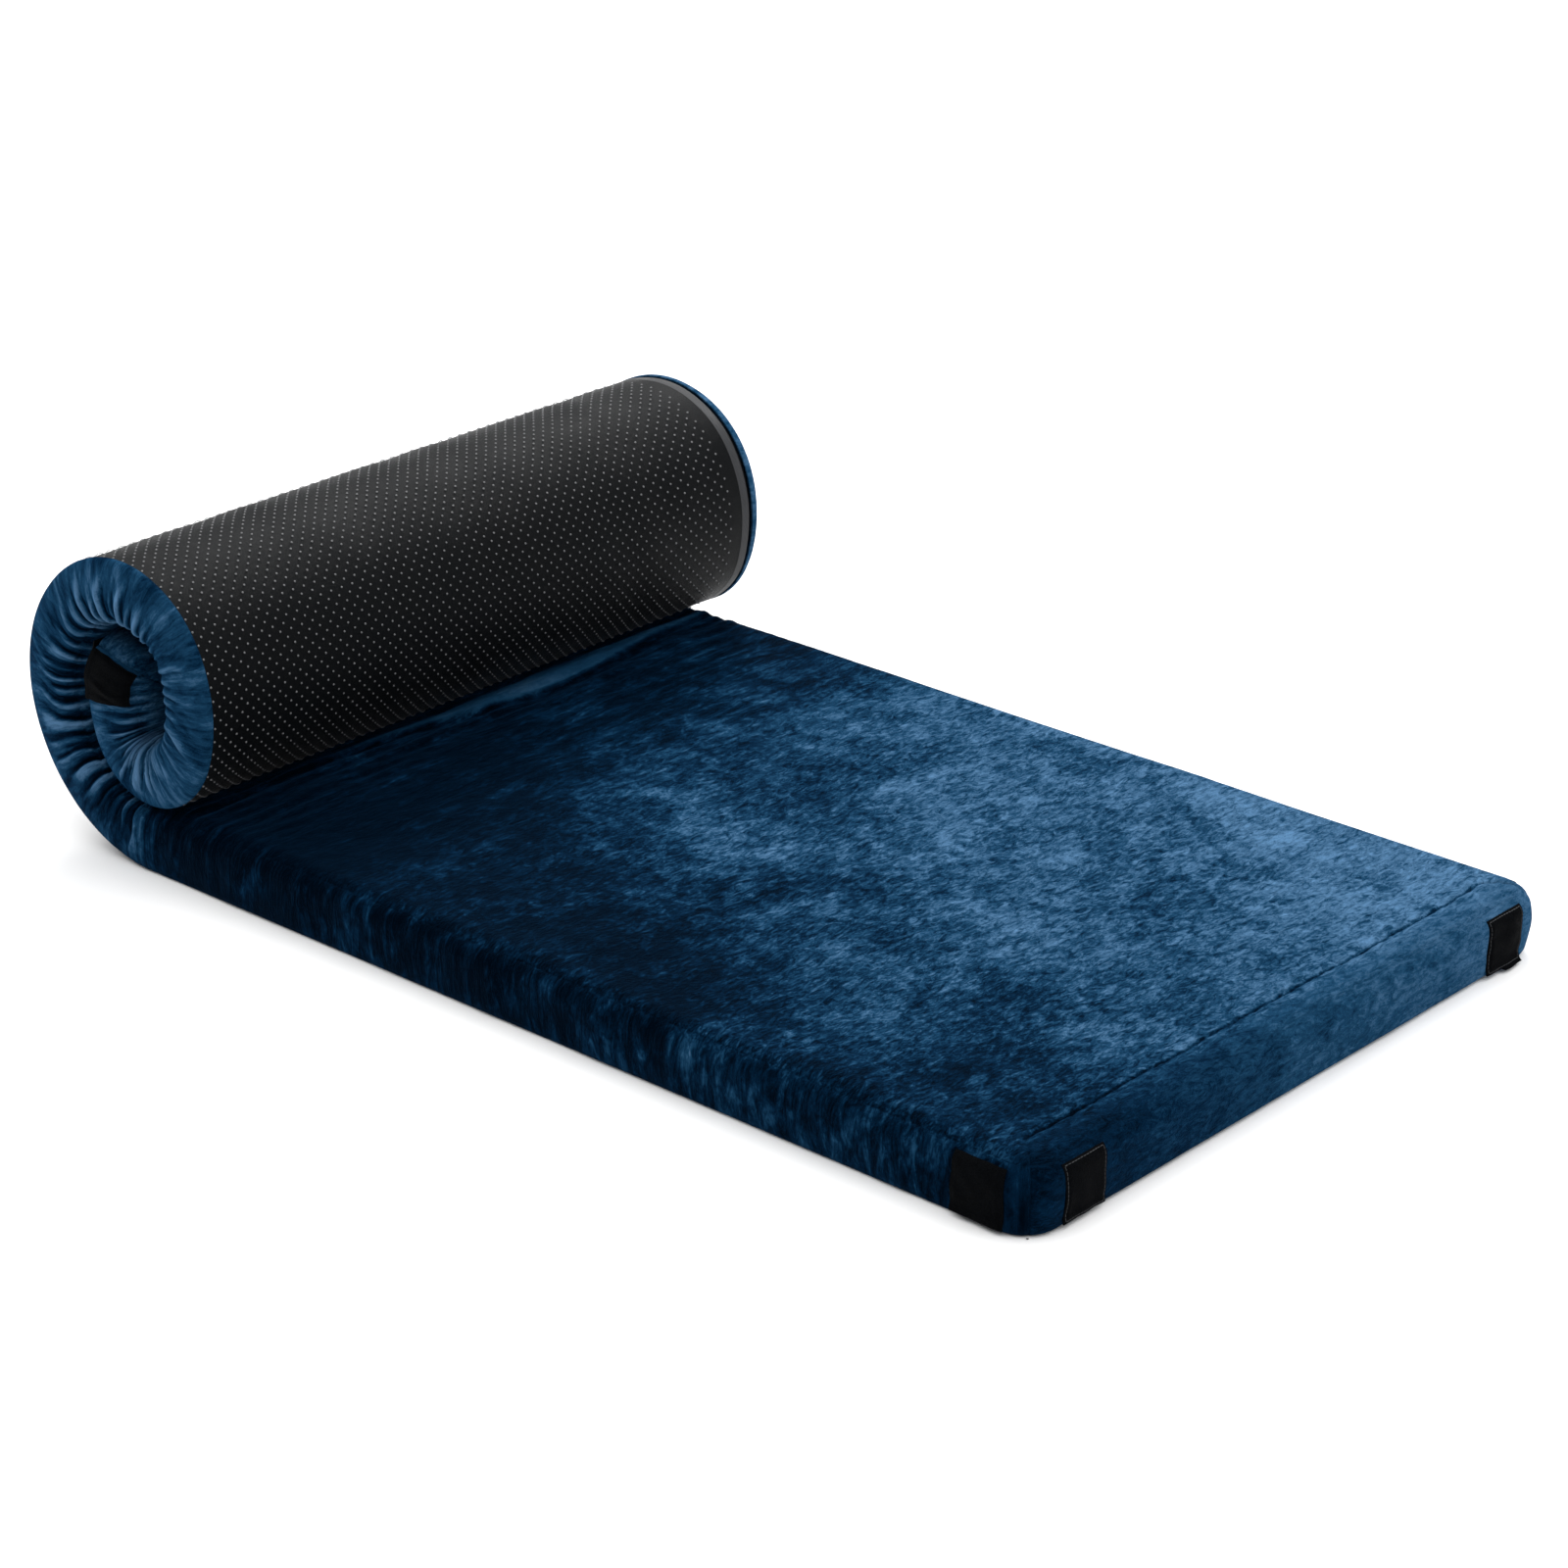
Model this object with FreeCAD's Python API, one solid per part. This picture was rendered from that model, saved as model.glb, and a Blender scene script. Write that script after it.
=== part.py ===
import FreeCAD, Part
import math
import os

# Roll-up futon mattress, stored half unrolled: one end lies flat, the other is rolled up on top of it.
# X runs along the mattress (foot end at +X, roll at -X), Y across it (near side at -Y), Z up.
# The origin is on the floor, in the middle of the footprint. All sizes are in millimetres.
#
# The roll is a chain of rigid segments. Each one is an arc of the mattress's underside, with its centre on
# the velvet side, and the cuts between segments are radial planes. Where a segment's middle tangent meets
# its neighbour's is the line on which the two fold, so the opened chain lies flat on its middles.

# ---- driving dimensions ----
WIDTH = 700.0
THICKNESS = 63.5
FLAT_LENGTH = 992.0  # foot end to the line where the underside leaves the floor
SEGMENT_ANGLE = 36.0  # turn of each rolled segment, degrees
SEGMENT_RADII = [160.0, 154.0, 141.0, 139.0, 122.0, 114.0, 109.0, 138.0, 95.0, 74.0, 74.0, 74.0, 146.0]
CUT_GAP = 0.5  # between two segments, at the underside

VELVET = 2.0  # pile, backing cloth and wadding of the cover
BASE_CLOTH = 1.5  # dotted anti-slip cloth

PATCH_SIZE = 50.0  # hook-and-loop squares
PATCH_THICKNESS = 1.5
PATCH_RISE = 5.0  # lower edge of a patch above the underside
FOOT_PATCH_INSET = 25.0  # side patches, from the foot end
HEAD_PATCH_INSET = 8.0  # side patches, from the rolled-up head end
END_PATCH_INSET = 34.0  # end patches, from the long sides

ZIP_LIP = 7.0  # velvet that wraps under the far edge, up to the zip
ZIP_GROOVE_WIDTH = 10.0
ZIP_GROOVE_DEPTH = 8.0
ZIP_BINDING = 10.0  # satin strip between the zip and the dotted cloth
ZIP_TAPE = 0.8
ZIP_END_MARGIN = 30.0
CHAIN_WIDTH = 5.0
CHAIN_DEPTH = 2.0
SLIDER_LENGTH = 11.0
SLIDER_WALL = 1.2
SLIDER_CLEARANCE = 0.3
PIN_RADIUS = 0.8
PIN_CLEARANCE = 0.15
TAB_LENGTH = 24.0
TAB_WIDTH = 5.0
TAB_THICKNESS = 1.4

HALF = WIDTH / 2


# ---- the underside's line, as arcs ----
def rolled_arcs(start_x):
    """Centre, radius and start angle of each rolled segment; the angle is how far the line has turned."""
    arcs = []
    x, z, turned = start_x, 0.0, 0.0
    for radius in SEGMENT_RADII:
        a = math.radians(turned)
        centre_x = x + radius * math.sin(a)
        centre_z = z + radius * math.cos(a)
        arcs.append((centre_x, centre_z, radius, turned))
        turned += SEGMENT_ANGLE
        a = math.radians(turned)
        x = centre_x - radius * math.sin(a)
        z = centre_z - radius * math.cos(a)
    return arcs


def roll_reach():
    """How far the roll stands out beyond the line where the underside leaves the floor."""
    upright = int(90.0 // SEGMENT_ANGLE)
    centre_x, centre_z, radius, turned = rolled_arcs(0.0)[upright]
    return radius - centre_x


FOOT_X = (FLAT_LENGTH + roll_reach() - PATCH_THICKNESS) / 2
START_X = FOOT_X - FLAT_LENGTH
ARCS = rolled_arcs(START_X)


# ---- shape helpers ----
def block(x0, x1, y0, y1, z0, z1):
    return Part.makeBox(x1 - x0, y1 - y0, z1 - z0, FreeCAD.Vector(x0, y0, z0))


def polar(arc, radius, turned, y):
    """A point at a radius from an arc's centre, where the underside has turned by an angle."""
    a = math.radians(turned)
    return FreeCAD.Vector(arc[0] - radius * math.sin(a), y, arc[1] - radius * math.cos(a))


def segment_layer(arc, depth_0, depth_1, y0, y1):
    """One layer of a rolled segment, between two depths measured inwards from the underside."""
    radius, start = arc[2], arc[3]
    trim = math.degrees(CUT_GAP / 2 / radius)
    first, last = start + trim, start + SEGMENT_ANGLE - trim
    middle = (first + last) / 2
    outer, inner = radius - depth_0, radius - depth_1
    edges = [
        Part.Arc(polar(arc, outer, first, y0), polar(arc, outer, middle, y0), polar(arc, outer, last, y0)),
        Part.LineSegment(polar(arc, outer, last, y0), polar(arc, inner, last, y0)),
        Part.Arc(polar(arc, inner, last, y0), polar(arc, inner, middle, y0), polar(arc, inner, first, y0)),
        Part.LineSegment(polar(arc, inner, first, y0), polar(arc, outer, first, y0)),
    ]
    face = Part.Face(Part.Wire([edge.toShape() for edge in edges]))
    return face.extrude(FreeCAD.Vector(0, y1 - y0, 0))


def fused(shapes):
    return shapes[0].multiFuse(shapes[1:]).removeSplitter()


# ---- rolled segments ----
def segment_foam(arc):
    return segment_layer(arc, BASE_CLOTH, THICKNESS - VELVET, -HALF + VELVET, HALF - VELVET)


def segment_cover(arc):
    """Velvet over the sleeping face and down both long sides."""
    top = segment_layer(arc, THICKNESS - VELVET, THICKNESS, -HALF, HALF)
    near = segment_layer(arc, BASE_CLOTH, THICKNESS - VELVET, -HALF, -HALF + VELVET)
    far = segment_layer(arc, BASE_CLOTH, THICKNESS - VELVET, HALF - VELVET, HALF)
    return fused([top, near, far])


def segment_base(arc):
    return segment_layer(arc, 0.0, BASE_CLOTH, -HALF, HALF)


def head_frame():
    """Placement whose X points out of the rolled-up head end, Y across and Z from underside to velvet."""
    arc = ARCS[-1]
    end = arc[3] + SEGMENT_ANGLE - math.degrees(CUT_GAP / 2 / arc[2])
    a = math.radians(end)
    out = FreeCAD.Vector(-math.cos(a), 0, math.sin(a))
    up = FreeCAD.Vector(math.sin(a), 0, math.cos(a))
    across = up.cross(out)
    turn = FreeCAD.Rotation(out, across, up, "ZXY")
    return FreeCAD.Placement(polar(arc, arc[2], end, 0.0), turn)


def head_piece(shape):
    shape.Placement = head_frame().multiply(shape.Placement)
    return shape


def head_border():
    """Velvet band that closes the head end: the last segment's foam, cover and cloth stop behind it."""
    return head_piece(block(0, VELVET, -HALF, HALF, BASE_CLOTH, THICKNESS))


def head_side_patch(side):
    """Hook-and-loop square on the last segment's long side, its edges following the head end."""
    y = HALF if side > 0 else -HALF - PATCH_THICKNESS
    x1 = -HEAD_PATCH_INSET
    bottom = PATCH_RISE + BASE_CLOTH
    return head_piece(block(x1 - PATCH_SIZE, x1, y, y + PATCH_THICKNESS, bottom, bottom + PATCH_SIZE))


def head_end_patch(side):
    y = side * (HALF - END_PATCH_INSET - PATCH_SIZE / 2) - PATCH_SIZE / 2
    bottom = PATCH_RISE
    return head_piece(
        block(VELVET, VELVET + PATCH_THICKNESS, y, y + PATCH_SIZE, bottom, bottom + PATCH_SIZE)
    )


# ---- flat part ----
INNER_X = FOOT_X - VELVET
FLAT_START = START_X + CUT_GAP / 2
GROOVE_FAR = HALF - ZIP_LIP
GROOVE_NEAR = GROOVE_FAR - ZIP_GROOVE_WIDTH
BINDING_NEAR = GROOVE_NEAR - ZIP_BINDING


def flat_foam():
    """Foam slab with a groove under its far edge that makes room for the zip."""
    slab = block(FLAT_START, INNER_X, -HALF + VELVET, HALF - VELVET, BASE_CLOTH, THICKNESS - VELVET)
    return slab.cut(block(FLAT_START, INNER_X, GROOVE_NEAR, GROOVE_FAR, 0, ZIP_GROOVE_DEPTH))


def flat_top_panel():
    return block(FLAT_START, FOOT_X, -HALF, HALF, THICKNESS - VELVET, THICKNESS)


def flat_near_border():
    return block(FLAT_START, INNER_X, -HALF, -HALF + VELVET, BASE_CLOTH, THICKNESS - VELVET)


def flat_far_border():
    """Velvet band of the far long side, with the lip that it wraps under the edge as far as the zip."""
    band = block(FLAT_START, INNER_X, HALF - VELVET, HALF, 0, THICKNESS - VELVET)
    lip = block(FLAT_START, INNER_X, GROOVE_FAR, HALF - VELVET, 0, BASE_CLOTH)
    return fused([band, lip])


def foot_border():
    return block(INNER_X, FOOT_X, -HALF, HALF, 0, THICKNESS - VELVET)


def flat_base_cloth():
    return block(FLAT_START, INNER_X, -HALF, BINDING_NEAR, 0, BASE_CLOTH)


def zip_edge_binding():
    """Satin strip between the dotted cloth and the zip."""
    return block(FLAT_START, INNER_X, BINDING_NEAR, GROOVE_NEAR, 0, BASE_CLOTH)


# ---- zip, in its groove ----
# Depths are measured down from the groove's ceiling, and Y from the middle of the coil.
COIL_Y = (GROOVE_NEAR + GROOVE_FAR) / 2
SLIDER_X = FOOT_X - ZIP_END_MARGIN - SLIDER_LENGTH
PLATE_TOP = ZIP_TAPE + CHAIN_DEPTH + SLIDER_CLEARANCE
PLATE_BOTTOM = PLATE_TOP + SLIDER_WALL
PIN_DEPTH = PLATE_BOTTOM + PIN_RADIUS + PIN_CLEARANCE + TAB_THICKNESS / 2
PIN_X = SLIDER_X + SLIDER_LENGTH / 2


def zip_block(x0, x1, y0, y1, depth_0, depth_1):
    return block(x0, x1, COIL_Y + y0, COIL_Y + y1, ZIP_GROOVE_DEPTH - depth_1, ZIP_GROOVE_DEPTH - depth_0)


def pin_cylinder(radius, half_length):
    """Cylinder along Y on the pull tab's axis."""
    foot = FreeCAD.Vector(PIN_X, COIL_Y - half_length, ZIP_GROOVE_DEPTH - PIN_DEPTH)
    return Part.makeCylinder(radius, 2 * half_length, foot, FreeCAD.Vector(0, 1, 0))


def zip_tape():
    half = ZIP_GROOVE_WIDTH / 2
    return zip_block(FLAT_START, INNER_X, -half, half, 0, ZIP_TAPE)


def zip_chain():
    """Closed coil of the zip, a rounded bead on the tape."""
    half = CHAIN_WIDTH / 2
    deep = ZIP_TAPE + CHAIN_DEPTH
    bead = zip_block(FLAT_START, FOOT_X - ZIP_END_MARGIN, -half, half, ZIP_TAPE, deep)
    bottom = ZIP_GROOVE_DEPTH - deep
    long_edges = [e for e in bead.Edges if e.Length > WIDTH and abs(e.Vertexes[0].Z - bottom) < CUT_GAP / 10]
    return bead.makeFillet(CHAIN_DEPTH / 2, long_edges)


def zip_slider():
    """Channel that straddles the coil, with two ears and the pin that carries the pull tab."""
    x0, x1 = SLIDER_X, SLIDER_X + SLIDER_LENGTH
    half = CHAIN_WIDTH / 2 + SLIDER_CLEARANCE + SLIDER_WALL
    wall_top = ZIP_TAPE + SLIDER_CLEARANCE
    ear_gap = TAB_WIDTH / 2 + SLIDER_CLEARANCE
    pieces = [zip_block(x0, x1, -half, half, PLATE_TOP, PLATE_BOTTOM)]
    for low in (-half, half - SLIDER_WALL):
        pieces.append(zip_block(x0, x1, low, low + SLIDER_WALL, wall_top, PLATE_TOP))
    for low in (-ear_gap - SLIDER_WALL, ear_gap):
        ear = (PIN_X - 2 * PIN_RADIUS, PIN_X + 2 * PIN_RADIUS, low, low + SLIDER_WALL)
        pieces.append(zip_block(*ear, PLATE_BOTTOM, PIN_DEPTH + PIN_RADIUS))
    pieces.append(pin_cylinder(PIN_RADIUS, ear_gap + SLIDER_WALL))
    return fused(pieces)


def zip_pull_tab():
    """Flat tab that turns on the slider's pin and rests along the zip."""
    half = TAB_WIDTH / 2
    eye = pin_cylinder(PIN_RADIUS + TAB_THICKNESS / 2, half)
    blade_top = PIN_DEPTH - TAB_THICKNESS / 2
    blade = zip_block(PIN_X - TAB_LENGTH, PIN_X, -half, half, blade_top, blade_top + TAB_THICKNESS)
    return fused([eye, blade]).cut(pin_cylinder(PIN_RADIUS + PIN_CLEARANCE, half + SLIDER_CLEARANCE))


# ---- hook-and-loop squares at the foot ----
def foot_side_patch(side):
    y = HALF if side > 0 else -HALF - PATCH_THICKNESS
    x1 = FOOT_X - FOOT_PATCH_INSET
    top = PATCH_RISE + PATCH_SIZE
    return block(x1 - PATCH_SIZE, x1, y, y + PATCH_THICKNESS, PATCH_RISE, top)


def foot_end_patch(side):
    y = side * (HALF - END_PATCH_INSET - PATCH_SIZE / 2) - PATCH_SIZE / 2
    return block(FOOT_X, FOOT_X + PATCH_THICKNESS, y, y + PATCH_SIZE, PATCH_RISE, PATCH_RISE + PATCH_SIZE)


# ---- nodes ----
nodes = {
    "flat_foam": flat_foam(),
    "flat_top_panel": flat_top_panel(),
    "flat_near_border": flat_near_border(),
    "flat_far_border": flat_far_border(),
    "foot_border": foot_border(),
    "flat_base_cloth": flat_base_cloth(),
    "zip_edge_binding": zip_edge_binding(),
    "zip_tape": zip_tape(),
    "zip_chain": zip_chain(),
    "zip_slider": zip_slider(),
    "zip_pull_tab": zip_pull_tab(),
    "foot_near_side_patch": foot_side_patch(-1),
    "foot_far_side_patch": foot_side_patch(1),
    "foot_near_end_patch": foot_end_patch(-1),
    "foot_far_end_patch": foot_end_patch(1),
    "head_border": head_border(),
    "head_near_side_patch": head_side_patch(1),  # the head frame's Y points to the near side
    "head_far_side_patch": head_side_patch(-1),
    "head_near_end_patch": head_end_patch(1),
    "head_far_end_patch": head_end_patch(-1),
}
for number, arc in enumerate(ARCS, 1):
    nodes["roll_%02d_foam" % number] = segment_foam(arc)
    nodes["roll_%02d_cover" % number] = segment_cover(arc)
    nodes["roll_%02d_base_cloth" % number] = segment_base(arc)

os.makedirs("parts", exist_ok=True)
for name, shape in nodes.items():
    if not shape.isValid() or shape.Volume <= 0:
        raise ValueError("bad solid: " + name)
    shape.exportStep(os.path.join("parts", name + ".step"))
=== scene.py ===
import math

import bmesh
import bpy
import numpy as np
from bpy.props import FloatProperty, FloatVectorProperty, PointerProperty
from bpy.types import Operator, Panel, PropertyGroup
from mathutils import Matrix, Vector


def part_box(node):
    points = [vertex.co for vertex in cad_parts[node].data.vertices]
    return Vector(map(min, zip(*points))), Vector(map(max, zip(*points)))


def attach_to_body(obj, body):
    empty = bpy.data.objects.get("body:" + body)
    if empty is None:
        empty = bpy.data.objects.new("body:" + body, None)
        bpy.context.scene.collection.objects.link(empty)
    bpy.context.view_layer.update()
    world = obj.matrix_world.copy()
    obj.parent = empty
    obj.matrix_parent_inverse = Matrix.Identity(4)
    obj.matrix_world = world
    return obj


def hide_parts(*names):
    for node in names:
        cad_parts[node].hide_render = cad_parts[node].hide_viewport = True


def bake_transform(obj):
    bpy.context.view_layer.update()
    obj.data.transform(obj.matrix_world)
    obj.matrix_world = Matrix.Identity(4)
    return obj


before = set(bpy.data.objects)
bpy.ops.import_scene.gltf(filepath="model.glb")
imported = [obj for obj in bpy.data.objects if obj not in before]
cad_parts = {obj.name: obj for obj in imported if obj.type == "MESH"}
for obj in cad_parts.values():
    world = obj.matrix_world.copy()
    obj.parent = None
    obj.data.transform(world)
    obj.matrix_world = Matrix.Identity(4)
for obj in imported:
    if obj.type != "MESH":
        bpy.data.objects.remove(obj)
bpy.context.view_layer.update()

bl_info = {
    "name": "Roll-up futon mattress",
    "version": (1, 0, 0),
    "blender": (4, 5, 0),
    "location": "3D View > Sidebar > Futon",
    "description": "Velvet mattress, half rolled up, with a dotted anti-slip underside",
    "category": "Add Mesh",
}

# ---- sizes shared with the mattress's solids, in metres and degrees ----
FOOT_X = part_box("foot_border")[1].x
HALF = -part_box("flat_base_cloth")[0].y
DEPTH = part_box("flat_top_panel")[1].z
FLAT_LENGTH = 0.992
SEGMENT_ANGLE = 36.0
SEGMENT_RADII = (
    0.160, 0.154, 0.141, 0.139, 0.122, 0.114, 0.109, 0.138, 0.095, 0.074, 0.074, 0.074, 0.146,
)
BINDING_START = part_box("zip_edge_binding")[0].y
GROOVE_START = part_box("zip_edge_binding")[1].y
GROOVE_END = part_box("flat_far_border")[0].y
TAPE_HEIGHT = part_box("zip_tape")[0].z
COIL_LOW, COIL_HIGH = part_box("zip_chain")
COIL_Y = (COIL_LOW.y + COIL_HIGH.y) / 2

# ---- sizes of the visual pieces ----
FAR_SPREAD = 0.012  # how far the rolled half's far side has worked outwards
SEAM_WRAP = 0.037  # end bands turn over this far on to the top
NEAR_LIP = 0.004  # velvet that turns under the near edge and the ends
CLOTH_HEIGHT = 0.0008  # underside cloth above the tips of its dots
CLOTH_THICKNESS = 0.0008
CLOTH_UNDERLAP = 0.001  # the dotted cloth runs on this far under the satin strip
STRIP_INSET = 0.012  # the satin strip and the zip tape start this far in from the foot end
ZIP_INSET = 0.030  # the zip's coil starts this far in, and its tape and coil stop so far from the head end

# the fold pushed up ahead of the roll: its middle and spread are shares of the mattress's width
FOLD_MIDDLE, FOLD_SPREAD = 0.66, 0.21
FOLD_X = -0.385  # its edge at the roll
FOLD_BACK = FOOT_X - FOLD_X  # the same, by distance from the foot end
FOLD_WIDTH = 0.016  # half its width at its widest
FOLD_THIN = 0.10  # share of that width that it keeps at both sides

# fastener squares: those on the foot end's sides lie where their solids do, and these place the rest
PATCH_SIZE = 0.050
HEAD_PATCH_INSET, HEAD_PATCH_BOTTOM = 0.006, 0.0065
END_PATCH_BOTTOM = 0.005
STITCH_INSET = 0.0022  # a square's stitching, from its edge

NEAR, FAR = -1, 1


# ---- small helpers ----
def smooth(t):
    """0 up to 0, 1 from 1 on, and an even rise between."""
    t = np.clip(t, 0.0, 1.0)
    return t * t * (3.0 - 2.0 * t)


def hump(t):
    """A bell curve: 1 at 0, and almost 0 beyond 2."""
    return np.exp(-t * t)


def onto_roll(along):
    """0 till just before the roll, and 1 from a little way round it."""
    return smooth((along - 0.975) / 0.10)


def rumple(seed, wavelength, *coordinates):
    """Smooth uneven waves, mostly between -1 and 1, with a usual length."""
    draw = np.random.default_rng(seed)
    waves = 8
    total = 0.0
    for _ in range(waves):
        direction = draw.normal(size=len(coordinates))
        direction /= np.linalg.norm(direction)
        length = wavelength * draw.uniform(0.6, 1.7)
        distance = sum(c * d for c, d in zip(coordinates, direction))
        total = total + np.sin(2 * math.pi * distance / length + draw.uniform(0, 2 * math.pi))
    return total / math.sqrt(waves)


class Underside:
    """The underside's line from the foot end: flat on the floor, then one arc for each segment."""

    def __init__(self):
        self.arcs = []
        x, z, turned, along = FOOT_X - FLAT_LENGTH, 0.0, 0.0, FLAT_LENGTH
        for radius in SEGMENT_RADII:
            a = math.radians(turned)
            cx, cz = x + radius * math.sin(a), z + radius * math.cos(a)
            self.arcs.append((cx, cz, radius, turned, along))
            turned += SEGMENT_ANGLE
            along += radius * math.radians(SEGMENT_ANGLE)
            a = math.radians(turned)
            x, z = cx - radius * math.sin(a), cz - radius * math.cos(a)
        self.length = along
        self.knots = [arc[4] for arc in self.arcs] + [along]
        self.turns = [arc[3] for arc in self.arcs] + [turned]

    def place(self, along, y, height):
        """Points at a distance along the underside, across it, and above it."""
        x, z = FOOT_X - along, np.array(height, float)
        y = y + FAR_SPREAD * onto_roll(along) * smooth((y - 0.20) / 0.14)
        for cx, cz, radius, turned, start in self.arcs:
            on = along > start
            a = math.radians(turned) + (along - start) / radius
            x = np.where(on, cx - (radius - height) * np.sin(a), x)
            z = np.where(on, cz - (radius - height) * np.cos(a), z)
        return np.column_stack([x, y, z])

    def turned(self, along):
        """Degrees turned, running on below 0 along the flat part."""
        before = np.degrees((along - FLAT_LENGTH) / SEGMENT_RADII[0])
        return np.where(along < FLAT_LENGTH, before, np.interp(along, self.knots, self.turns))

    def along(self, turned):
        return float(np.interp(turned, self.turns, self.knots))

    def turned_near(self, points, segment):
        """Degrees turned at points round the start of a segment, from 1; negative on the flat part."""
        cx, cz, _, start, _ = self.arcs[segment - 1]

        def angle(cx, cz, about):
            a = np.degrees(np.arctan2(cx - points[:, 0], cz - points[:, 2]))
            return about + (a - about + 180.0) % 360.0 - 180.0

        here = angle(cx, cz, start)
        if segment == 1:
            return np.maximum(here, 0.0)
        before = self.arcs[segment - 2]
        return np.where(here > start, here, np.minimum(angle(before[0], before[1], start), start))


LINE = Underside()


# ---- the soft outside of the mattress ----
def pleats(turned, rise, side, sizes):
    """Gathers of a side band, from 0 in a valley to about 1 on a ridge, and how far they have grown."""
    draw = np.random.default_rng(23 if side == NEAR else 71)
    count = 96
    tall = draw.uniform(0.30, 1.20, count)
    begins = draw.uniform(0.0, 0.42, count)
    lean = 0.55 + 0.55 * np.sin(np.radians(turned) * 1.7 + side)
    count_on = (
        turned / sizes.pleat_pitch
        + 0.42 * rumple(5 + side, 52.0, turned)
        + lean * rise
        + 0.16 * rumple(9 + side, 1.0, turned / 30.0, rise * 1.6)
    )
    cell = np.floor(count_on).astype(int)
    part = count_on - cell
    ridge = 1.35 * part ** 1.15 * (1 - smooth((part - 0.74) / 0.26))
    grown = smooth((rise - begins[cell % count]) / 0.5)
    small = np.abs(np.sin(math.pi * (count_on * 2.37 + 0.8 * rise))) ** 0.8
    strength = np.interp(
        turned,
        (-28, -6, 18, 50, 190, 222, 325, 352, 438, 448, 468),
        (0, 0.35, 0.7, 1, 1, 0.42, 0.34, 0.95, 1, 0.3, 0.3),
    )
    height = tall[cell % count] * grown * ridge + 0.16 * small * smooth(rise / 0.8)
    return height * strength, smooth((rise - 0.15) / 0.7) * strength


def rounding(a, b):
    """The share that brings a way out of a square corner on to a circle, and the way's length."""
    length = np.maximum(np.hypot(a, b), 1e-9)
    return np.maximum(a, b) / length, length


def soften(along, y, height, sizes):
    """Rounds the box-shaped blank: its upright corners in plan, then its top and bottom edges.
    Gives the new place, the way out of the surface, and the distance in from the outline."""
    corner, top = sizes.corner_radius, sizes.edge_radius
    mid_along = np.clip(along, corner, LINE.length - corner)
    mid_y = np.clip(y, corner - HALF, HALF - corner)
    d_along, d_y = along - mid_along, y - mid_y
    reach = np.maximum(np.abs(d_along), np.abs(d_y))
    span = np.maximum(np.hypot(d_along, d_y), 1e-9)
    out_along, out_y = d_along / span, d_y / span
    inset = corner - reach

    bottom = 0.0030 + 0.0050 * np.clip(out_y, 0, 1) + 0.0020 * np.abs(out_along)
    sideways = np.maximum(top - inset, 0.0)
    upward = np.maximum(height - (DEPTH - top), 0.0)
    scale, size = rounding(sideways, upward)
    round_inset = np.where(upward > 0, np.minimum(inset, top) + sideways * (1 - scale), inset)
    round_inset = np.where(inset > top, inset, round_inset)
    round_height = np.where(upward > 0, DEPTH - top + upward * scale, height)
    out, up = sideways / size, upward / size

    under_side = np.maximum(bottom - inset, 0.0)
    downward = np.maximum(bottom - height, 0.0)
    scale, size = rounding(under_side, downward)
    low = downward > 0
    round_inset = np.where(low & (under_side > 0), bottom - under_side * scale, round_inset)
    round_height = np.where(low, bottom - downward * scale, round_height)
    out = np.where(low, under_side / size, out)
    up = np.where(low, -downward / size, up)

    reach = np.where(reach > 0, corner - round_inset, 0.0)
    place = (mid_along + out_along * reach, mid_y + out_y * reach, round_height)
    return place, (out_along * out, out_y * out, up), inset


def seam_distance(along, y, height, sizes):
    """How far a point of the blank is from the seams of the foot and head bands."""
    end = np.minimum(along, LINE.length - along)
    side = HALF - np.abs(y)
    on_wall = np.minimum(height, DEPTH - height) > 1e-6
    wrap = sizes.band_wrap
    on_mitre = np.clip((end + side) / 2, 0, wrap)
    mitre = np.hypot(end - on_mitre, side - on_mitre)
    straight = np.hypot(end - wrap, np.maximum(wrap - side, 0))
    return np.where(on_wall, np.maximum(end, side), np.minimum(mitre, straight))


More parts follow.
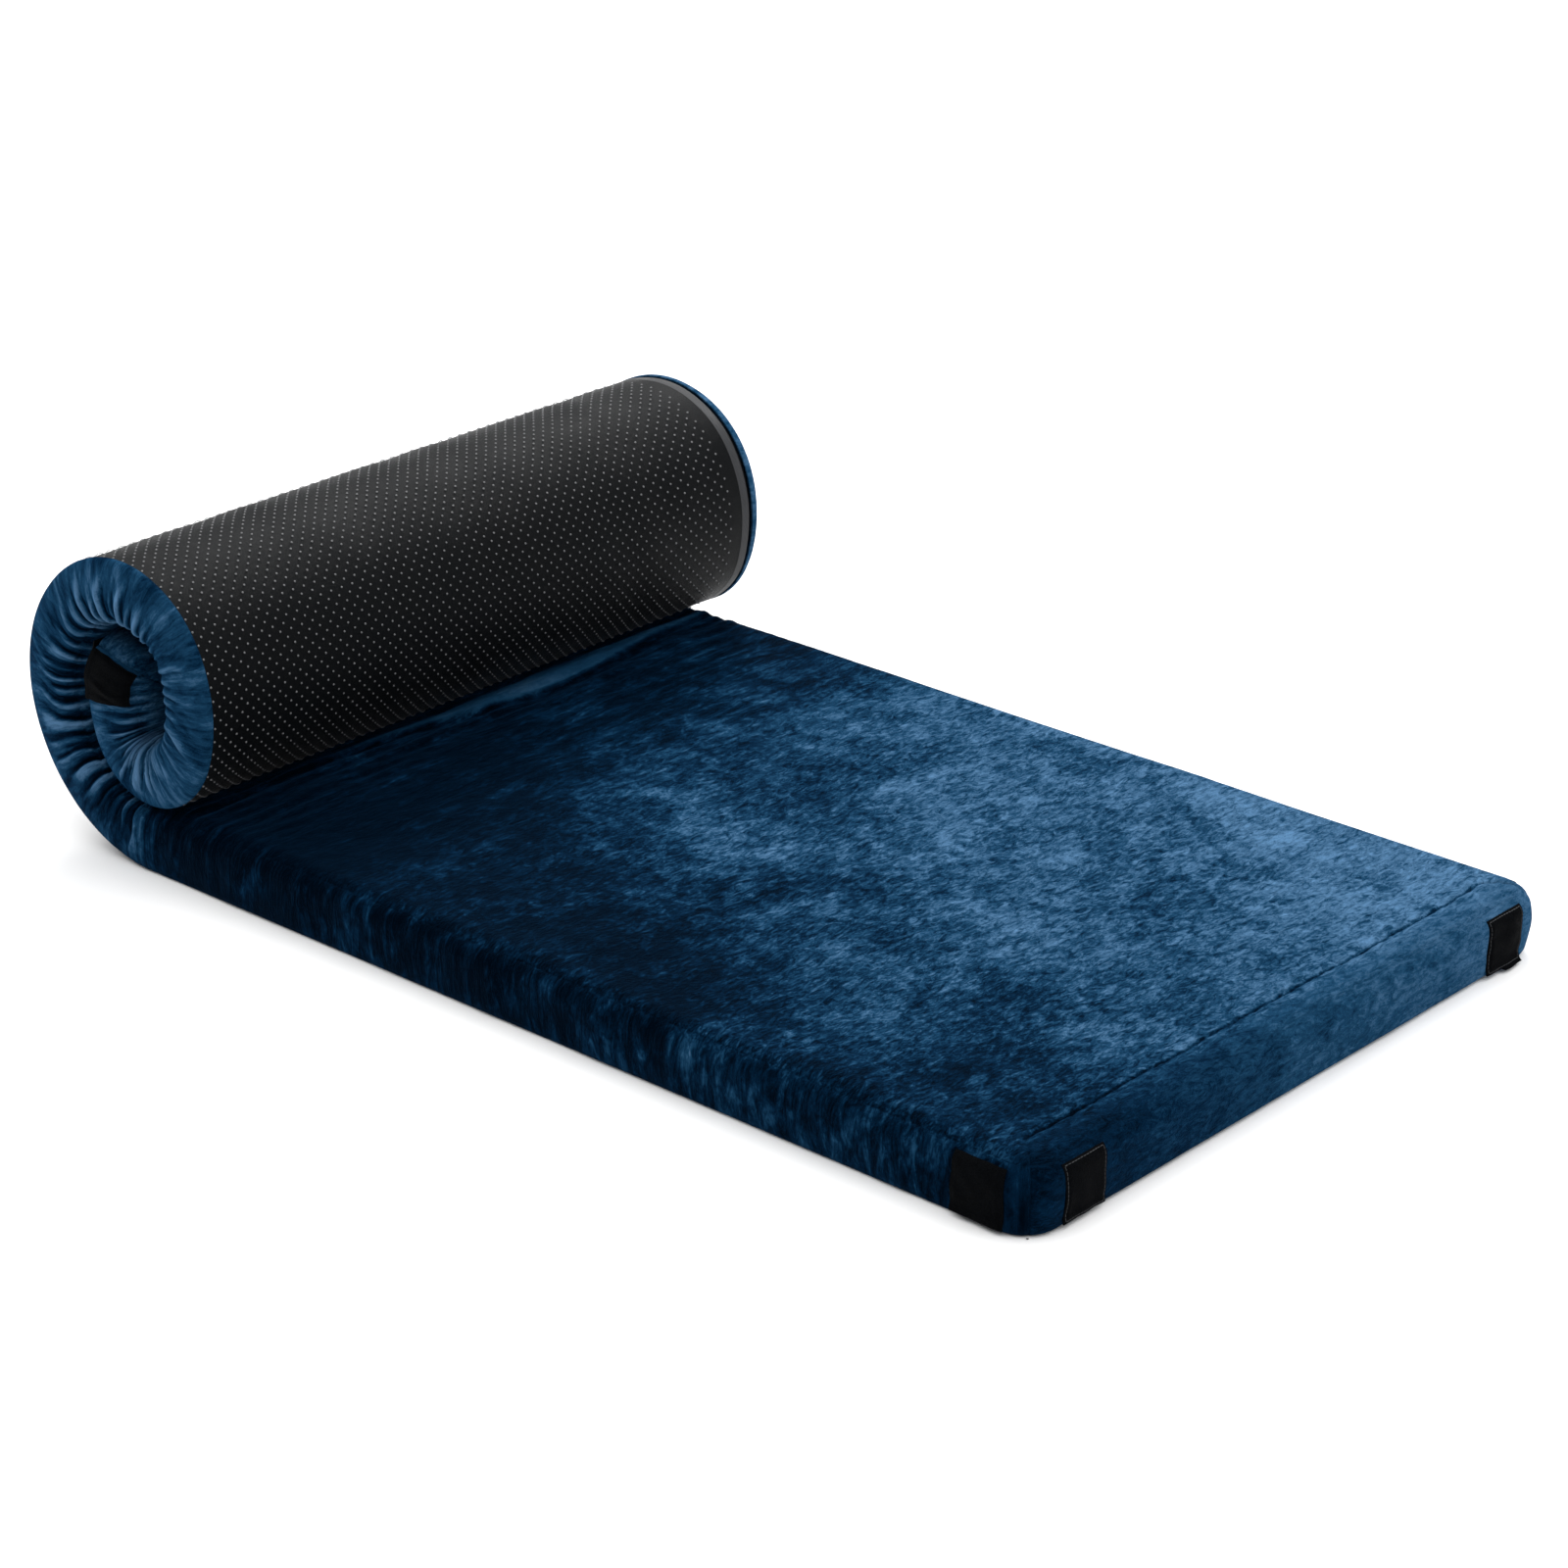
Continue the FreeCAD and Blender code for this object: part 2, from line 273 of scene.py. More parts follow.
def swell(along, y, height, inset, way_out, sizes):
    """How far the filled cover stands out from the plain rounded blank, in metres."""
    rise = height / DEPTH
    up = np.clip(way_out[2], 0, 1) ** 2
    turned = LINE.turned(along)
    rolled = smooth((turned + 10.0) / 45.0)
    wall = np.clip(1 - way_out[2] ** 2, 0, 1) * (4 * rise * (1 - rise)).clip(0, 1) ** 0.75
    out = wall * (sizes.band_bulge + 0.0035 * rolled)
    out = out + wall * (1 - 0.6 * rolled) * (
        0.0009 * rumple(31, 0.11, along, y, height * 2) + 0.0005 * rumple(32, 0.035, along, y, height)
    )

    side = np.where(y < 0, NEAR, FAR)
    for one in (NEAR, FAR):
        ridge, grown = pleats(turned, rise, one, sizes)
        fade = hump(np.maximum(inset, 0.0) / 0.016)
        on_band = sizes.pleat_height * (ridge - 0.42 * grown)
        on_top = sizes.pleat_height * (np.minimum(ridge, 1.0) - grown) * fade
        out = out + np.where(side == one, on_band * (1 - up) + np.minimum(on_top, 0) * up, 0.0)

    # the flat top: slow waves, small puckers, and a fold pushed up ahead of the roll
    open_top = up * (1 - smooth((turned + 4.0) / 8.0))
    edge = smooth(inset / 0.03)
    out = out + open_top * edge * (
        0.0011 * rumple(41, 0.22, along, y)
        + 0.0005 * rumple(42, 0.060, along, y * 0.8)
        + 0.00028 * rumple(43, 0.022, along * 1.3 + y * 0.5, y * 0.6)
    )
    share = np.clip((y + HALF) / (2 * HALF), 0, 1)
    half_fold = sizes.fold_width * (FOLD_THIN + (1 - FOLD_THIN) * hump((share - FOLD_MIDDLE) / FOLD_SPREAD))
    back = FOOT_X - sizes.fold_x
    near_roll = smooth((along - 0.80) / 0.14)
    out = out + open_top * (
        sizes.fold_height * (half_fold / sizes.fold_width) ** 0.6
        * hump((along - back + half_fold) / (0.80 * half_fold + 0.001))
        - 0.0020 * hump((along - back + 2 * half_fold + 0.004) / 0.005)
        + near_roll * 0.0008 * rumple(44, 0.026, along * 1.6, y * 0.22)
    )

    # seams pull the velvet in, with small puckers along them
    gap = seam_distance(along, y, height, sizes)
    pucker = 1.0 + 0.45 * rumple(51, 0.013, along, y, height)
    out = out - 0.0016 * hump(gap / 0.0045) * pucker - 0.0012 * hump(gap / 0.0012)
    return out


def outside(along, y, height, sizes, lift=0.0):
    """Points on the soft outside, for points of the box-shaped blank."""
    along, y, height = (np.asarray(v, float) for v in np.broadcast_arrays(along, y, height))
    place, way_out, inset = soften(along, y, height, sizes)
    out = swell(along, y, height, inset, way_out, sizes) + lift
    # nothing goes below the underside's cloth
    out = np.where(way_out[2] < -0.05, out * (1 + way_out[2]).clip(0, 1) + np.maximum(lift, 0), out)
    spot = [p + n * out for p, n in zip(place, way_out)]
    return LINE.place(spot[0], spot[1], np.maximum(spot[2], 0.0006))


def fold_shade_share(along, y, height, sizes):
    """0 in the valleys between gathers, 1 on their ridges, and a half where the velvet is smooth; the
    velvet's colour uses it for painted shade in the valleys and painted highlights on the ridges.
    """
    turned, rise = LINE.turned(along), height / DEPTH
    inset = np.where(height > DEPTH - 1e-6, HALF - np.abs(y), 0.0)
    share = 0.5
    for one in (NEAR, FAR):
        ridge, grown = pleats(turned, rise, one, sizes)
        lit = (ridge - 0.45 * grown) * hump(inset / 0.018)
        share = share + np.where(np.sign(y) == one, lit, 0.0)
    return np.clip(share, 0, 1)


def groove_edges(along):
    """Both edges of the opening over the zip: it closes up beyond the slider's run."""
    shut = 0.0018 * smooth((along - 0.965) / 0.06)
    return GROOVE_START + 0.0008 + shut, GROOVE_END - 0.0008 - shut


# ---- meshes ----
def link(name, data):
    """A new object in the scene."""
    piece = bpy.data.objects.new(name, data)
    bpy.context.scene.collection.objects.link(piece)
    return piece


def take_mesh(bm, name):
    mesh = bpy.data.meshes.new(name)
    bm.to_mesh(mesh)
    bm.free()
    return mesh


def coordinates(mesh):
    flat = np.empty(len(mesh.vertices) * 3, np.float32)
    mesh.vertices.foreach_get("co", flat)
    return flat.reshape(-1, 3).astype(float)


def set_coordinates(mesh, points):
    mesh.vertices.foreach_set("co", np.ascontiguousarray(points, np.float32).ravel())
    mesh.update()


def set_pattern(mesh, pattern, name="cloth"):
    """A UV map, in metres along and across the cloth unless it carries the gathers' painted shade and
    highlights.
    """
    corner = np.empty(len(mesh.loops), np.int32)
    mesh.loops.foreach_get("vertex_index", corner)
    layer = mesh.uv_layers.new(name=name)
    layer.uv.foreach_set("vector", np.ascontiguousarray(pattern[corner], np.float32).ravel())


def cloth(name, columns, rows, shape, thickness):
    """A piece of cloth from a grid: shape gives its points and pattern for two shares from 0 to 1."""
    bm = bmesh.new()
    bmesh.ops.create_grid(bm, x_segments=columns, y_segments=rows, size=0.5)
    mesh = take_mesh(bm, name)
    flat = coordinates(mesh)
    points, pattern, *folds = shape(flat[:, 0] + 0.5, flat[:, 1] + 0.5)
    set_coordinates(mesh, points)
    set_pattern(mesh, pattern)
    for share in folds:
        set_pattern(mesh, np.column_stack([share, share]), "folds")
    bm = bmesh.new()
    bm.from_mesh(mesh)
    bmesh.ops.solidify(bm, geom=bm.faces[:], thickness=thickness)
    bm.to_mesh(mesh)
    bm.free()
    return finish_mesh(mesh, name)


def shade(mesh, sharp):
    """Smooth shading, with edges left sharp above an angle in degrees."""
    mesh.shade_smooth()
    mesh.set_sharp_from_angle(angle=math.radians(sharp))


def finish_mesh(mesh, name, sharp=50.0):
    shade(mesh, sharp)
    return link(name, mesh)


def repeated(name, bm, counts, pitches, shape, sharp=80.0):
    """A small solid repeated in rows by two arrays, then laid on the mattress by shape."""
    piece = link(name, take_mesh(bm, name))
    for axis, (count, pitch) in enumerate(zip(counts, pitches)):
        rows = piece.modifiers.new("rows", "ARRAY")
        rows.count = count
        rows.use_relative_offset = False
        rows.use_constant_offset = True
        rows.constant_offset_displace = [pitch if i == axis else 0.0 for i in range(3)]
    graph = bpy.context.evaluated_depsgraph_get()
    made = bpy.data.meshes.new_from_object(piece.evaluated_get(graph))
    made.name = name
    piece.modifiers.clear()
    piece.data = made
    flat = coordinates(made)
    set_coordinates(made, shape(flat))
    set_pattern(made, flat[:, :2])
    shade(made, sharp)
    return piece


def spans():
    """Number and ends of the lengths that each bend about one hinge line, then the stiff last one."""
    half = SEGMENT_ANGLE / 2
    ends = [0.0] + [SEGMENT_ANGLE * n + half for n in range(len(SEGMENT_RADII))]
    ends.append(SEGMENT_ANGLE * len(SEGMENT_RADII))
    return [
        (n + 1, LINE.along(a) if a else FLAT_LENGTH, LINE.along(b))
        for n, (a, b) in enumerate(zip(ends, ends[1:]))
    ]


def lengths(start, end_gap):
    """The flat length from start, then the spans, the last one ending short of the head end by a gap."""
    *before, (number, low, _) = [(0, start, FLAT_LENGTH)] + spans()
    return before + [(number, low, LINE.length - end_gap)]


def attach(piece, number):
    """Span 0 lies flat on the flat half and the last one rides on the last segment; for the others the
    shares of an even bend are worked out but not used, and the piece only has its transform baked.
    """
    last = len(SEGMENT_RADII)
    if number == 0:
        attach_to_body(piece, "flat_half")
    elif number > last:
        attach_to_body(piece, "roll_%02d" % last)
    else:
        before = "flat_half" if number == 1 else "roll_%02d" % (number - 1)
        points = coordinates(piece.data)
        middle = SEGMENT_ANGLE * (number - 1)
        turned = LINE.turned_near(points, number)
        if number == 1:
            weight = turned / (SEGMENT_ANGLE / 2)
        else:
            weight = (turned - middle + SEGMENT_ANGLE / 2) / SEGMENT_ANGLE
        low, high = points[int(np.argmin(weight))], points[int(np.argmax(weight))]
        "roll_%02d" % number
        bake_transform(piece)
        weight = np.clip(weight, 0, 1).astype(np.float32)


def binding_edge(along):
    """Where the dotted cloth meets the satin strip, which is partly covered on the roll."""
    return BINDING_START + 0.003 * onto_roll(along)


def title(base, number):
    """The name of one length of a part: the flat one is number 0."""
    return f"{base}_flat" if number == 0 else f"{base}_roll_{number:02d}"


# ---- materials ----
def arithmetic(operation, swapped=False):
    """A method for Wire that does one operation in a node."""

    def method(self, other):
        a, b = (other, self) if swapped else (self, other)
        return self.board.add("ShaderNodeMath", {"operation": operation}, {0: a, 1: b})[0]

    return method


class Wire:
    """A value in a material's nodes that can be used in plain arithmetic."""

    def __init__(self, board, socket):
        self.board, self.socket = board, socket

    __add__, __radd__ = arithmetic("ADD"), arithmetic("ADD", True)
    __sub__, __rsub__ = arithmetic("SUBTRACT"), arithmetic("SUBTRACT", True)
    __mul__, __rmul__ = arithmetic("MULTIPLY"), arithmetic("MULTIPLY", True)
    __pow__, __rpow__ = arithmetic("POWER"), arithmetic("POWER", True)
    __truediv__ = arithmetic("DIVIDE")


class Made:
    """A node that gives its outputs as wires."""

    def __init__(self, board, node):
        self.board, self.node = board, node

    def __getitem__(self, key):
        return Wire(self.board, self.node.outputs[key])


class Board:
    """The nodes of one material."""

    def __init__(self, name):
        self.material = bpy.data.materials.new(name)
        self.material.use_nodes = True
        self.tree = self.material.node_tree
        self.shader = self.tree.nodes["Principled BSDF"]

    def add(self, kind, settings=None, values=None):
        """A node of a type, with its settings made first and then its sockets filled or linked."""
        node = self.tree.nodes.new(kind)
        for key, value in (settings or {}).items():
            if key == "stops":
                ramp = node.color_ramp
                while len(ramp.elements) < len(value):
                    ramp.elements.new(0.5)
                for element, (position, colour) in zip(ramp.elements, value):
                    element.position, element.color = position, (*colour, 1.0)
            else:
                setattr(node, key, value)
        for key, value in (values or {}).items():
            self.fill(node.inputs[key], value)
        return Made(self, node)

    def fill(self, socket, value):
        if isinstance(value, Wire):
            self.tree.links.new(value.socket, socket)
        elif isinstance(value, (tuple, list)) and len(socket.default_value) > len(value):
            socket.default_value = (*value, 1.0)
        else:
            socket.default_value = value

    def set(self, **values):
        """Sockets of the shader, with _ for a space in their names."""
        for key, value in values.items():
            self.fill(self.shader.inputs[key.replace("_", " ")], value)

    def pattern(self):
        """The cloth's own coordinates, in metres along and across."""
        place = self.add("ShaderNodeUVMap", {"uv_map": "cloth"})["UV"]
        parts = self.add("ShaderNodeSeparateXYZ", None, {0: place})
        return place, parts["X"], parts["Y"]

    def object_place(self):
        return self.add("ShaderNodeTexCoord")["Object"]

    def turned(self, place, stretch, angle=0.0):
        return self.add(
            "ShaderNodeMapping",
            {"vector_type": "POINT"},
            {"Vector": place, "Rotation": (0.0, 0.0, math.radians(angle)), "Scale": stretch},
        )["Vector"]

    def noise(self, place, scale, detail=3.0, roughness=0.55, distortion=0.0):
        return self.add(
            "ShaderNodeTexNoise",
            {"noise_dimensions": "3D"},
            {
                "Vector": place,
                "Scale": scale,
                "Detail": detail,
                "Roughness": roughness,
                "Distortion": distortion,
            },
        )["Fac"]

    def cells(self, place, scale):
        values = {"Vector": place, "Scale": scale}
        return self.add("ShaderNodeTexVoronoi", {"feature": "F1"}, values)["Distance"]

    def waves(self, place, direction, scale, distortion, **more):
        """Even bands, with more sockets of the node named as in set."""
        settings = {"wave_type": "BANDS", "bands_direction": direction}
        values = {"Vector": place, "Scale": scale, "Distortion": distortion}
        values.update((key.replace("_", " "), value) for key, value in more.items())
        return self.add("ShaderNodeTexWave", settings, values)["Fac"]

    def step(self, value, low, high):
        """0 below low, 1 above high, and smooth between."""
        return self.add(
            "ShaderNodeMapRange",
            {"interpolation_type": "SMOOTHSTEP"},
            {"Value": value, "From Min": low, "From Max": high, "To Min": 0.0, "To Max": 1.0},
        )["Result"]

    def ramp(self, value, *stops):
        return self.add("ShaderNodeValToRGB", {"stops": stops}, {"Fac": value})["Color"]

    def bump(self, height, distance, strength=1.0, under=None):
        values = {"Height": height, "Distance": distance, "Strength": strength}
        if under is not None:
            values["Normal"] = under
        return self.add("ShaderNodeBump", None, values)["Normal"]


MATERIALS = {}


def kept(make):
    """A material is made once and then shared."""

    def use():
        if make.__name__ not in MATERIALS:
            MATERIALS[make.__name__] = make(bpy.context.scene.futon_finishes)
        return MATERIALS[make.__name__]

    return use


def tint(colour, times):
    return tuple(c * times for c in colour)


def fold_face(board, along, across):
    """1 on the lit face of the fold pushed up ahead of the roll, where a painted highlight goes, and 0
    elsewhere.
    """
    share = 1 - (across - DEPTH) / (2 * HALF)
    off = (share - FOLD_MIDDLE) / FOLD_SPREAD
    wide, thin = (1 - FOLD_THIN) * FOLD_WIDTH, FOLD_THIN * FOLD_WIDTH
    front = FOLD_BACK - ((math.e ** (off * off * -1)) * wide + thin) * 2
    face = board.step(along - front, -0.002, 0.005)
    face = face * (1 - board.step(along, FOLD_BACK - 0.004, FOLD_BACK + 0.004))
    return face * board.step(share, 0.10, 0.30) * (1 - board.step(share, 0.985, 1.0))


@kept
def velvet(finish):
    """Crystal velvet: brushed pile in cloudy tones, darker and streaked towards the roll, that darkness
    partly painted shade; painted shade also on the near side, the foot band, the seam and the gathers'
    valleys, and painted light on the far side and the gathers' ridges.
    """
    board = Board("blue_crystal_velvet")
    place, along, across = board.pattern()
    folds = board.add("ShaderNodeUVMap", {"uv_map": "folds"})["UV"]
    fold = board.add("ShaderNodeSeparateXYZ", None, {0: folds})["X"]

    # parts of the cover, each 1 there and 0 elsewhere
    near_top = DEPTH + 2 * HALF
    far_wall = 1 - board.step(across, DEPTH - 0.012, DEPTH + 0.020)
    near_wall = board.step(across, near_top - 0.012, near_top + 0.020)
    near_shade_mask = board.step(across, DEPTH + HALF * 0.85, DEPTH + HALF * 1.95)
    far_light_mask = 1 - board.step(across, DEPTH, DEPTH + HALF)
    by_roll = board.step(along, 0.50, 0.93) * (1 - board.step(along + near_wall * 0.05, 0.975, 1.05))
    rolled = board.step(along, 1.00, 1.06)
    by_foot = 1 - board.step(along, 0.05, 0.50)
    end_wall = 1 - board.step(along, 0.016, 0.040)
    # where the painted highlight on the fold ahead of the roll goes
    lit_fold = fold_face(board, along, across)

    # the pile: crushed on the open top, and streaked on the sides and by the roll
    cloud = board.noise(place, 5.0, 6.0, 0.62, 0.5)
    mottle = board.noise(place, 22.0, 8.0, 0.70, 0.35)
    crush = board.noise(board.turned(place, (1.0, 0.42, 1.0), 14.0), 120.0, 5.0, 0.72, 1.1)
    nap = board.noise(board.turned(place, (1.0, 0.40, 1.0), -16.0), 260.0, 4.0, 0.70, 0.9)
    streak = board.noise(board.turned(place, (1.0, 0.16, 1.0), 6.0), 62.0, 6.0, 0.66, 1.3)
    grain = board.noise(place, 1300.0, 1.0, 0.5)

    streaked = board.step((far_wall + near_wall) * 0.8 + by_roll * 0.8, 0.0, 1.0)
    brushed = (crush * 0.55 + nap * 0.45) * (1 - streaked) + (streak * 0.68 + crush * 0.32) * streaked
    tone = cloud * 0.24 + mottle * 0.20 + brushed * 0.56
    tone = (tone - 0.5) * (5.6 - end_wall * 2.8 - rolled * 1.8) + 0.53 - rolled * 0.08
    # darker by the roll: partly the pile brushed away there, partly painted shade from the roll
    tone = tone + (grain - 0.5) * 0.30 - by_roll * 0.52
    # painted shade: the open half darker towards its near side and down its near band
    tone = tone - near_shade_mask * (1 - rolled) * (0.42 - by_roll * 0.16)
    # painted light: the open top lighter towards its far side; the rolled half's far band is made lighter
    # too
    tone = tone + far_light_mask * (1 - by_roll) * (1 - rolled) * 0.20 + far_wall * rolled * 0.20
    # painted shade: the foot end face and its rounded top edge darker; the top is also made lighter towards
    # the foot
    tone = tone - end_wall * 0.16 + by_foot * 0.14

    # the foot band's seam, darkened along its groove as painted shade, then the gathers and the fold ahead
    # of the roll
    inside = board.step(across, DEPTH + 0.033, DEPTH + 0.041)
    inside = inside * (1 - board.step(across, near_top - 0.041, near_top - 0.033))
    off_seam = board.add("ShaderNodeMath", {"operation": "ABSOLUTE"}, {0: along - SEAM_WRAP})[0]
    tone = tone - (1 - board.step(off_seam, 0.0004, 0.0030)) * inside * 0.38
    # painted highlight on the fold ahead of the roll; on the gathers, painted highlights on the ridges and
    # painted shade in the valleys
    tone = tone * (1 - lit_fold * 0.75) + lit_fold * 0.56 + (fold - 0.5) * 1.45
    colour = board.ramp(
        tone * 0.72 + 0.10,
        (0.00, tint(finish.velvet_deep, 0.12)),
        (0.12, tint(finish.velvet_deep, 0.30)),
        (0.29, tuple(finish.velvet_deep)),
        (0.50, tuple(finish.velvet_mid)),
        (0.82, tuple(finish.velvet_light)),
        (1.00, tint(finish.velvet_light, 1.30)),
    )
    board.set(
        Base_Color=colour,
        Roughness=board.step(tone, -0.4, 1.3) * 0.22 + 0.62,
        Specular_IOR_Level=0.004,
        Specular_Tint=(0.06, 0.30, 0.75, 1.0),
        Sheen_Weight=0.09,
        Sheen_Roughness=0.35,
        Sheen_Tint=(0.06, 0.36, 0.90, 1.0),
    )
    waves = board.bump(mottle * 0.5 + brushed, 0.0050, 0.75)
    board.set(Normal=board.bump(nap * 0.5 + grain * 0.6, 0.0011, 0.7, waves))
    return board.material


@kept
def anti_slip_cloth(finish):
    """Charcoal knitted cloth with a faint rib."""
    board = Board("charcoal_underside_cloth")
    place = board.pattern()[0]
    rib = board.waves(place, "X", 320.0, 1.2, Detail=2.0, Detail_Scale=3.0)
    weft = board.waves(place, "Y", 260.0, 1.2, Detail=2.0, Detail_Scale=3.0)
    weave = rib * weft
    cloud = board.noise(place, 9.0, 4.0, 0.6, 0.4)
    fuzz = board.noise(place, 900.0, 2.0, 0.6)
    tone = cloud * 0.6 + fuzz * 0.4
    shade = tuple(finish.underside)
    board.set(
        Base_Color=board.ramp(tone, (0.25, tint(shade, 0.55)), (0.75, tint(shade, 1.45))),
        Roughness=board.step(cloud, 0.2, 0.8) * 0.12 + 0.40,
        Specular_IOR_Level=0.06,
        Sheen_Weight=0.03,
        Sheen_Roughness=0.30,
    )
    soft = board.bump(cloud, 0.004, 0.35)
    board.set(Normal=board.bump(weave + fuzz * 0.5, 0.0004, 0.6, soft))
    return board.material


@kept
def dot_rubber(finish):
    """The raised dots' soft grey plastic, a little dusty."""
    board = Board("grey_dot_plastic")
    place = board.object_place()
    dust = board.noise(place, 60.0, 3.0, 0.6)
    speck = board.noise(place, 1500.0, 2.0, 0.6)
    shade = tuple(finish.dots)
    tone = dust * 0.7 + speck * 0.3
    board.set(
        Base_Color=board.ramp(tone, (0.30, tint(shade, 0.72)), (0.72, tint(shade, 1.15))),
        Roughness=board.step(dust, 0.2, 0.8) * 0.2 + 0.28,
        Specular_IOR_Level=0.7,
        Normal=board.bump(speck, 0.0002, 0.4),
    )
    return board.material


@kept
def satin_binding(finish):
    """Light grey ribbon with a fine rib across it."""
    board = Board("grey_satin_binding")
    place = board.pattern()[0]
    rib = board.waves(place, "X", 260.0, 0.6, Detail=1.0)
    wear = board.noise(board.turned(place, (1.0, 4.0, 1.0)), 40.0, 4.0, 0.6)
    shade = tuple(finish.binding)
    board.set(
        Base_Color=board.ramp(
            wear * 0.75 + rib * 0.25, (0.25, tint(shade, 0.7)), (0.75, tint(shade, 1.2))
        ),
        Roughness=board.step(wear, 0.2, 0.8) * 0.2 + 0.34,
        Normal=board.bump(rib + wear * 0.4, 0.0004, 0.5),
        Specular_IOR_Level=0.12,
        Sheen_Weight=0.04,
    )
    return board.material


@kept
def hook_and_loop(finish):
    """Black fastener: a dense field of small hooks with a woven edge."""
    board = Board("black_hook_and_loop")
    place = board.object_place()
    hooks = board.cells(place, 900.0)
    tuft = board.noise(place, 420.0, 3.0, 0.65)
    lint = board.noise(place, 75.0, 4.0, 0.6, 0.5)
    shade = tuple(finish.fastener)
    tone = tuft * 0.45 + lint * 0.35 + (1 - hooks) * 0.2
    board.set(
        Base_Color=board.ramp(tone, (0.32, tint(shade, 0.45)), (0.78, tint(shade, 2.1))),
        Roughness=board.step(lint, 0.2, 0.8) * 0.15 + 0.70,
        Specular_IOR_Level=0.02,
        Normal=board.bump((1 - hooks) * 0.7 + tuft, 0.0008, 0.9),
    )
    return board.material


@kept
def black_thread(finish):
    """Twisted polyester thread."""
    board = Board("black_thread")
    place = board.object_place()
    ply = board.waves(place, "DIAGONAL", 900.0, 1.0)
    board.set(
        Base_Color=board.ramp(ply, (0.0, (0.006, 0.007, 0.008)), (1.0, (0.030, 0.034, 0.040))),
        Roughness=ply * 0.2 + 0.38,
        Normal=board.bump(ply, 0.0002, 0.7),
    )
    return board.material


@kept
def zip_tape(finish):
    """Woven zip tape, dark."""
    board = Board("dark_zip_tape")
    place = board.pattern()[0]
    weave = board.waves(place, "DIAGONAL", 420.0, 0.8)
    fuzz = board.noise(place, 500.0, 3.0, 0.6)
    board.set(
        Base_Color=board.ramp(
            weave * 0.6 + fuzz * 0.4, (0.1, (0.004, 0.005, 0.007)), (0.9, (0.018, 0.022, 0.028))
        ),
        Roughness=fuzz * 0.2 + 0.66,
        Normal=board.bump(weave, 0.0003, 0.8),
    )
    return board.material


@kept
def zip_nylon(finish):
    """Moulded nylon coil."""
    board = Board("dark_zip_nylon")
    place = board.object_place()
    mark = board.noise(place, 700.0, 3.0, 0.6)
    board.set(
        Base_Color=board.ramp(mark, (0.3, (0.008, 0.009, 0.011)), (0.8, (0.030, 0.033, 0.038))),
        Roughness=mark * 0.25 + 0.22,
        Normal=board.bump(mark, 0.0001, 0.5),
    )
    return board.material


@kept
def zip_metal(finish):
    """Painted zinc, rubbed on its edges."""
    board = Board("zip_gunmetal")
    place = board.object_place()
    rub = board.noise(place, 240.0, 4.0, 0.65)
    fine = board.noise(place, 1600.0, 2.0, 0.6)
    board.set(
        Base_Color=board.ramp(rub, (0.35, (0.055, 0.058, 0.063)), (0.75, (0.21, 0.215, 0.225))),
        Metallic=board.step(rub, 0.3, 0.7) * 0.3 + 0.7,
        Roughness=board.step(rub, 0.2, 0.8) * 0.25 + 0.26,
        Normal=board.bump(fine, 0.00008, 0.5),
    )
    return board.material


@kept
def floor_paint(finish):
    """Matt pale paint, very faintly uneven."""
    board = Board("pale_floor")
    place = board.object_place()
    cloud = board.noise(place, 0.8, 2.0, 0.5)
    shade = tuple(finish.floor)
    board.set(
        Base_Color=board.ramp(cloud, (0.0, tint(shade, 0.985)), (1.0, shade)),
        Roughness=0.9,
        Specular_IOR_Level=0.1,
    )
    return board.material


# ---- properties ----
def length_property(name, description, **limits):
    return FloatProperty(name=name, description=description, unit="LENGTH", precision=4, **limits)


def colour_property(name, description, default):
    return FloatVectorProperty(
        name=name, description=description, default=default, subtype="COLOR", min=0.0, max=1.0
    )


class FutonSizes(PropertyGroup):
    """Sizes of the cover, its folds and the dots"""

    edge_radius: length_property(
        "Edge radius", "Rounding of the velvet's upper edges", default=0.018, min=0.004, max=0.026
    )
    corner_radius: length_property(
        "Corner radius", "Rounding of the upright corners at both ends",
        default=0.030, min=0.027, max=0.060,
    )
    band_bulge: length_property(
        "Band bulge", "How far the filling pushes the side bands out", default=0.0045, min=0.0, max=0.010
    )
    band_wrap: length_property(
        "End band wrap", "How far the end bands turn over on to the top",
        default=SEAM_WRAP, min=0.030, max=0.060,
    )
    pleat_pitch: FloatProperty(
        name="Pleat pitch", description="Degrees of roll from one gather to the next",
        default=8.6, min=4.0, max=20.0,
    )
    pleat_height: length_property(
        "Pleat height", "Height of the gathers at the inner edge of the band",
        default=0.0070, min=0.0, max=0.009,
    )
    fold_x: length_property(
        "Fold position", "Back edge of the fold pushed up ahead of the roll",
        default=FOLD_X, min=-0.39, max=-0.30,
    )
    fold_width: length_property(
        "Fold width", "Half the width of that fold where it is widest",
        default=FOLD_WIDTH, min=0.005, max=0.03,
    )
    fold_height: length_property(
        "Fold height", "Height of the fold ahead of the roll", default=0.0070, min=0.0, max=0.008
    )
    dot_pitch: length_property(
        "Dot pitch", "Distance between dots in a row; every second row is shifted",
        default=0.0127, min=0.008, max=0.03,
    )
    dot_size: length_property(
        "Dot size", "Diameter of a dot", default=0.0023, min=0.001, max=0.006
    )
    cover: length_property(
        "Cover thickness", "Velvet with its backing", default=0.0014, min=0.0005, max=0.002
    )


